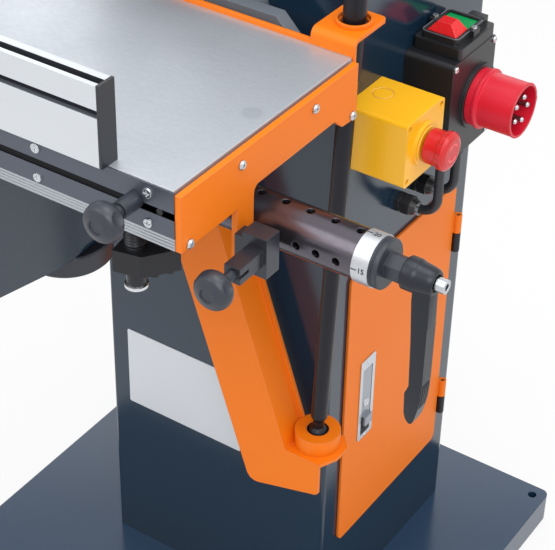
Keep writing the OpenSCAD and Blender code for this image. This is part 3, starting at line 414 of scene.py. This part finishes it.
def bead(name, points, radius, material, body, closed=False):
    """A round bead or cable along points, as one smooth curve."""
    path = bpy.data.curves.new(name, "CURVE")
    path.dimensions = "3D"
    path.bevel_depth = radius
    path.bevel_resolution = 5
    path.use_fill_caps = True
    run = path.splines.new("POLY")
    run.points.add(len(points) - 1)
    run.use_cyclic_u = closed
    run.use_smooth = True
    for spot, point in zip(run.points, points):
        spot.co = (*point, 1)
    path.materials.append(material)
    piece = bpy.data.objects.new(name, path)
    scene.collection.objects.link(piece)
    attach(piece, body)
    return piece


def round_frame(x0, x1, y0, y1, z, radius):
    """The points of a rectangle with round corners, lying flat."""
    steps = 6
    points = []
    for corner, (x, y) in enumerate(((x1 - radius, y1 - radius), (x0 + radius, y1 - radius),
                                     (x0 + radius, y0 + radius), (x1 - radius, y0 + radius))):
        for step in range(steps + 1):
            angle = math.pi / 2 * (corner + step / steps)
            points.append((x + radius * math.cos(angle), y + radius * math.sin(angle), z))
    return points


red_low, red_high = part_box("stop_button")
green_low, green_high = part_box("start_button")
hood_z = green_high[2] + 0.0019
hood_out = 0.0037
hood_corner = 0.0045
hood_bead = 0.0007
hood_line = round_frame(red_low[0] - hood_out, red_high[0] + hood_out, red_low[1] - hood_out,
                        green_high[1] + hood_out, hood_z, hood_corner)
bead("hood_rim", hood_line, hood_bead, clear_rim_highlight, "frame", closed=True)

# Power inlet trim. A moulded nub at the side of the inlet's rim, which keys the plug, and a fine bead
# round its mouth.
inlet_low, inlet_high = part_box("power_inlet")
inlet_y = (inlet_low[1] + inlet_high[1]) / 2
inlet_z = (inlet_low[2] + inlet_high[2]) / 2
inlet_r = (inlet_high[2] - inlet_low[2]) / 2 - 0.0032
rim_bead = 0.0006
rim_profile = [(inlet_r - rim_bead, 0), (inlet_r + rim_bead, 0.0004), (inlet_r + rim_bead, 0.0012),
               (inlet_r - rim_bead, 0.0016)]
nub_half = 0.0030
trim = bmesh.new()
turned(trim, rim_profile, (inlet_high[0] - 0.0020, inlet_y, inlet_z), (1, 0, 0), 72)
block(trim, (inlet_high[0] - 0.0120, inlet_y + inlet_r - 0.0008, inlet_z - nub_half),
      (inlet_high[0] - 0.0004, inlet_y + inlet_r + 0.0022, inlet_z + nub_half), 0.0006)
made_of(trim, "inlet_trim", crimson, "frame")

# Stop box. Yellow moulded plastic, screwed to the wall, with the red emergency mushroom on its front. Two
# turned arrows on the mushroom show how it is released.
yellow_plastic = finish("yellow_plastic", shade(248, 186, 22), shade(242, 176, 14), 0.34, 0.0012, 0.05,
                        edge=0.8, round_by=0.0012)
dress(yellow_plastic, "stop_box")
mushroom_red = finish("mushroom_red", shade(203, 29, 32), shade(192, 23, 27), 0.30, 0.0012, 0.04, edge=1.0,
                      round_by=0.0010)
dress(mushroom_red, "stop_mushroom")
# The arrows are the mushroom's own red in relief; their lighter, pinker red is a painted sheen.
arrow_sheen_red = finish("arrow_sheen_red", shade(240, 98, 98), shade(236, 84, 86), 0.36, 0.0010, 0.04)
mushroom_low, mushroom_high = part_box("stop_mushroom")
mushroom_y = (mushroom_low[1] + mushroom_high[1]) / 2
mushroom_z = (mushroom_low[2] + mushroom_high[2]) / 2
arrow_x = mushroom_high[0] - 0.0001
arrow_thick = 0.0004
arrow_in = 0.0078
arrow_out = 0.0098
arrow_sweep = 95
arrow_steps = 10


def on_mushroom(radius, degrees):
    """A point on the mushroom's face, by its distance and angle from the middle."""
    angle = math.radians(degrees)
    return arrow_x, mushroom_y + radius * math.cos(angle), mushroom_z + radius * math.sin(angle)


arrows = bmesh.new()
for start in (20, 200):
    turns = [start + arrow_sweep * step / arrow_steps for step in range(arrow_steps + 1)]
    outer = [on_mushroom(arrow_out, degrees) for degrees in turns]
    inner = [on_mushroom(arrow_in, degrees) for degrees in turns]
    wing = start + arrow_sweep - 2
    tip = start + arrow_sweep + 26
    head = [on_mushroom(0.0118, wing), on_mushroom(0.0088, tip), on_mushroom(0.0058, wing)]
    pushed(arrows, outer + head + inner[::-1], (arrow_thick, 0, 0))
made_of(arrows, "mushroom_arrows", arrow_sheen_red, "estop")

# Cable glands and cables. Two black hexagon glands in the wall, each with a crown of clamping claws, and two
# short rubber cables from them up into the switch box.
rubber = finish("cable_rubber", shade(44, 46, 51), shade(36, 38, 42), 0.42, 0.0012, 0.10)
dress(black_plastic, "cable_glands")
# The clamping claws' pale grey is a painted highlight for the light that catches them.
claw_pale_highlight = finish("claw_pale_highlight", shade(150, 154, 162), shade(84, 87, 94), 0.24, 0.0010, 0.06, edge=0.8)
cable_bend = 0.0205
bend_steps = 12
claw_count = 8
claw_tall = 0.0022
claw_long = 0.0062
claws = bmesh.new()
for name in ("front_cable", "rear_cable"):
    low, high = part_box(name)
    radius = (high[1] - low[1]) / 2
    middle = (low[1] + high[1]) / 2
    start_z = low[2] + radius
    rise_x = high[0] - radius
    rise_z = start_z + cable_bend
    foot = Vector((low[0] - 0.0040, middle, start_z))
    route = [tuple(foot), (low[0], middle, start_z)]
    for step in range(bend_steps + 1):
        angle = math.pi / 2 * step / bend_steps
        route.append((rise_x - cable_bend + cable_bend * math.sin(angle), middle,
                      rise_z - cable_bend * math.cos(angle)))
    for share in (0.33, 0.66, 1.0):
        route.append((rise_x, middle, rise_z + (high[2] - rise_z) * share))
    cable = bead(name + "_sheath", route, radius, rubber, "frame")
    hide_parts(name)
    claw = ((radius, -0.0020), (radius + claw_tall, -0.0022), (radius + claw_tall, 0.0022), (radius, 0.0020))
    for k in range(claw_count):
        angle = 2 * math.pi * (k + 0.5) / claw_count
        out = Vector((0, math.cos(angle), math.sin(angle)))
        side = Vector((0, -math.sin(angle), math.cos(angle)))
        outline = [tuple(foot + out * r + side * s) for r, s in claw]
        pushed(claws, outline, (claw_long, 0, 0), 0.0005)
made_of(claws, "gland_claws", claw_pale_highlight, "frame")

# Console and lift. A painted steel console on the cabinet's front with a grey cast bar behind the table,
# bright guide rods, cast blocks and a moulded handwheel on the lifting screw.
cast_bar_z = 0.815
cast_bar = region(shade(122, 129, 138), 0.42, 0.3, z=(cast_bar_z, beyond))
console_paint = finish("console_paint", shade(28, 45, 63), shade(35, 52, 71), 0.2, 0.0016, 0.06, edge=0.5,
                       round_by=0.0012, regions=(cast_bar,))
dress(console_paint, "console")
dress(slate, "carriage_apron")
dress(steel, "lift_columns", "lead_screw", "depth_rods", "cross_rods")
satin_black = finish("satin_black", shade(47, 51, 61), shade(39, 43, 52), 0.40, 0.0010, 0.12, edge=1.2,
                     round_by=0.0012)
dress(satin_black, "height_handwheel")
dress(cast_iron, "lift_block", "cross_carriage", "table_bearings")

# Control lever. An orange folded arm with a turned socket, and a black steel lever in a ball seat with a
# rubber sleeve for the hand.
dress(orange, "lever_arm", "lever_socket", "rear_rail", "guide_ring", "end_plates")
lever_black = finish("lever_black", shade(31, 32, 37), shade(43, 43, 49), 0.34, 0.0014, 0.14, metal=0.6,
                     stretch=(1, 1, 0.2), cloud=30, edge=0.6, level=0.4)
dress(lever_black, "control_lever", "lever_seat", "lever_grip")

# Index tube. A browned steel tube with rows of holes, a satin ring with two plain numbers and a black cap,
# and the block, plunger and knob that the table meets it with.
browned = finish("burnished_steel", shade(104, 100, 108), shade(80, 77, 85), 0.25, 0.0009, 0.06, metal=0.9,
                 stretch=(0.15, 1, 1), edge=2.2, round_by=0.0012)
dress(browned, "index_tube")
satin = finish("satin_aluminium", shade(206, 209, 213), shade(190, 194, 199), 0.38, 0.0006, 0.05, metal=0.85,
               stretch=(1, 0.08, 0.08), edge=0.3)
dress(satin, "pitch_ring")
dress(satin_black, "tube_cap", "index_plunger", "knob_sleeve", "front_knob")
block_steel = finish("block_steel", shade(64, 67, 76), shade(52, 55, 63), 0.32, 0.0009, 0.08, metal=0.5,
                     edge=1.6, round_by=0.0012)
dress(block_steel, "index_block")
dress(steel, "clamp_screw")

ring_low, ring_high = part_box("pitch_ring")
tube_y = (ring_low[1] + ring_high[1]) / 2
tube_z = (ring_low[2] + ring_high[2]) / 2
ring_r = (ring_high[2] - ring_low[2]) / 2
mark_ink = finish("mark_ink", shade(34, 35, 38), shade(48, 49, 53), 0.5, 0.0008, 0.03)
figure_tall = 0.0068
figure_thick = 0.00012
figure_x = ring_low[0] + 0.0099
tick_from = ring_low[0] + 0.0003
tick_to = ring_low[0] + 0.0057
tick_half = 0.0005
tick_thick = 0.0004
ticks = bmesh.new()
for figure, lift in (("20", 93), ("15", 2)):
    angle = math.radians(lift)
    out = Vector((0, -math.cos(angle), math.sin(angle)))
    up = Vector((0, math.sin(angle), math.cos(angle)))
    seat = Vector((0, tube_y, tube_z)) + out * ring_r
    digits = bpy.data.curves.new("pitch_" + figure, "FONT")
    digits.body = figure
    digits.size = figure_tall
    digits.extrude = figure_thick
    digits.offset = figure_thick
    digits.align_x = "CENTER"
    digits.align_y = "CENTER"
    digits.materials.append(mark_ink)
    number = bpy.data.objects.new("pitch_" + figure, digits)
    scene.collection.objects.link(number)
    upright = Matrix((Vector((1, 0, 0)), up, out)).transposed().to_4x4()
    number.matrix_world = Matrix.Translation(seat + Vector((figure_x, 0, 0))) @ upright
    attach(number, "tube")
    outline = [tuple(seat + Vector((x, 0, 0)) + up * s - out * tick_thick / 2)
               for x, s in ((tick_from, -tick_half), (tick_to, -tick_half),
                            (tick_to, tick_half), (tick_from, tick_half))]
    pushed(ticks, outline, tuple(out * tick_thick))
made_of(ticks, "pitch_ticks", mark_ink, "tube")

# Clamp lever. A moulded black lever with a stepped, flat-faced arm, a round hub and finger ribs on its edge,
# held on the tube's cap by one screw.
lever_low, lever_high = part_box("clamp_lever")
hub_x = lever_low[0]
foot_z = lever_low[2]
arm_top = tube_z - foot_z - 0.0040
arm_thick = 0.0155
hub_profile = [(0.0060, 0.0004), (0.0142, 0.0), (0.0150, 0.0008), (0.0150, 0.0100), (0.0146, 0.0114),
               (0.0141, 0.0120), (0.0138, 0.0150), (0.0128, 0.0225), (0.0118, 0.0270), (0.0106, 0.0286),
               (0.0086, 0.0290), (0.0078, 0.0284), (0.0076, 0.0250), (0.0060, 0.0250)]
face = [(0.0098, arm_top), (0.0100, 0.1340), (0.0124, 0.0900), (0.0150, 0.0425), (0.0140, 0.0400),
        (0.0106, 0.0350), (0.0098, 0.0325), (0.0106, 0.0110), (0.0118, 0.0062), (0.0140, 0.0024),
        (0.0168, 0.0004), (0.0194, 0.0014), (0.0212, 0.0060), (0.0226, 0.0120), (0.0242, 0.0190),
        (0.0256, 0.0270), (0.0264, 0.0370), (0.0268, 0.0500), (0.0270, 0.1080), (0.0268, arm_top)]
arm = bmesh.new()
turned(arm, hub_profile, (hub_x, tube_y, tube_z), (1, 0, 0), 56)
pushed(arm, [(hub_x + x, tube_y - 0.0080, foot_z + z) for x, z in face], (0, arm_thick, 0), 0.0011, 3)
finger_edge = [(0.0268, 0.0460), (0.0264, 0.0370), (0.0256, 0.0270), (0.0243, 0.0195)]
finger_ribs = 4
finger_pitch = 0.0030
finger_wide = 0.0014
for step in range(finger_ribs):
    rib_y = tube_y - 0.0052 + finger_pitch * step
    outline = [(hub_x + x - 0.0008, rib_y, foot_z + z) for x, z in finger_edge]
    outline += [(hub_x + x + 0.0006, rib_y, foot_z + z) for x, z in reversed(finger_edge)]
    pushed(arm, outline, (0, finger_wide, 0), 0.0003, 1)
clamp_black = finish("clamp_black", shade(46, 49, 56), shade(37, 40, 46), 0.34, 0.0010, 0.10, metal=0.5,
                     edge=1.4, round_by=0.0010, level=0.4)
clamp_arm = made_of(arm, "clamp_arm", clamp_black, "clamp")
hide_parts("clamp_lever")

# Stop stud and bracket. A black bracket under the table's front right on a blackened threaded stud, with a
# bright washer at its lower end.
washer_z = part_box("stop_stud")[0][2] + 0.0031
washer = region(shade(214, 217, 221), 0.2, 1, z=(-beyond, washer_z))
stud_black = finish("stud_black", shade(40, 41, 45), shade(54, 55, 59), 0.34, 0.0010, 0.10, metal=0.6,
                    edge=1.6, regions=(washer,))
dress(stud_black, "stop_stud")
dress(black_steel, "stop_bracket")

# Table screws. Bright cross-head screws in the front and pan heads in the end plates. The one in the front
# slot is black.
slot_screw = region(shade(30, 31, 34), 0.4, 0.3, x=(0.1840, 0.1980), z=(0.8220, 0.8345))
table_screw_steel = finish("table_screw_steel", shade(212, 215, 219), shade(190, 194, 199), 0.26, 0.0008,
                           0.05, metal=1, edge=0.6, regions=(slot_screw,))
dress(table_screw_steel, "table_screws")

# Table. A ground steel top with faint swirls, on a grey anodised front profile with a black insert in its
# slot and a ribbed aluminium strip under it.
steel_z = 0.8525
thumb_mark = ((0.186, -0.270, steel_z), 0.011, shade(168, 174, 182), 0.5)
# Painted shade: a broad darker patch on the left of the top, where the ground steel mirrors less light.
left_painted_shade = ((-0.150, -0.160, steel_z), 0.050, shade(170, 174, 182), 0.35)
ground = finish("ground_steel", shade(208, 213, 219), shade(172, 178, 187), 0.46, 0.0032, 0.04, metal=0.75,
                stretch=(0.5, 1, 1), cloud=14, spread=0.12, edge=1.0, round_by=0.0015, mixed=0.55,
                stains_and_shade=(thumb_mark, left_painted_shade))
dress(ground, "table_top")
profile_low, profile_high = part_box("front_profile")
# Painted shade: inside the profile's slot the lips are painted near-black, where shade falls into the slot.
profile_slot_shade = region(shade(26, 27, 31), 0.5, 1, y=(profile_low[1] + 0.0006, profile_high[1] - 0.0010),
                      z=(profile_low[2] + 0.0140, profile_low[2] + 0.0280))
anodised = finish("dark_aluminium", shade(94, 99, 110), shade(78, 83, 94), 0.36, 0.0008, 0.06, metal=0.6,
                  stretch=(0.05, 1, 1), edge=1.0, regions=(profile_slot_shade,))
dress(anodised, "front_profile")
slot_black = finish("slot_black", shade(20, 21, 25), shade(26, 27, 31), 0.45, 0.0010, 0.10, metal=0.9)
dress(slot_black, "slot_insert")
strip_alloy = finish("strip_aluminium", shade(182, 187, 194), shade(166, 171, 178), 0.36, 0.0008, 0.06,
                     metal=0.85, stretch=(0.05, 1, 1), edge=0.5)
dress(strip_alloy, "ribbed_strip")

# Fence. A long aluminium extrusion, clear-anodised, with a slot along its face and one along its top. The
# slots' insides carry painted shade: a mid-grey floor and a dark back in the face slot, and a dark top slot.
fence_low, fence_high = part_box("fence_bar")
fence_front = fence_low[1]
fence_top = fence_high[2]
fence_slot_shadow = shade(56, 59, 66)
slot_heights = (fence_top - 0.0336, fence_top - 0.0190)
slot_floor_shade = region(shade(136, 142, 151), 0.5, 0.4, y=(fence_front + 0.0006, fence_front + 0.0088),
                    z=slot_heights)
slot_back_shadow = region(fence_slot_shadow, 0.5, 0.4, y=(fence_front + 0.0088, fence_front + 0.0096), z=slot_heights)
top_slot_shadow = region(fence_slot_shadow, 0.5, 0.4, y=(fence_front + 0.0043, fence_front + 0.0127),
                  z=(fence_top - 0.0092, fence_top - 0.0004))
fence_alloy = finish("fence_aluminium", shade(222, 226, 230), shade(208, 212, 218), 0.34, 0.0008, 0.05,
                     metal=0.85, stretch=(0.05, 1, 1), edge=0.5, regions=(slot_floor_shade, slot_back_shadow, top_slot_shadow))
dress(fence_alloy, "fence_bar")
cap_black = finish("cap_black", shade(38, 40, 46), shade(30, 32, 37), 0.42, 0.0010, 0.10, edge=1.0)
dress(cap_black, "fence_caps")
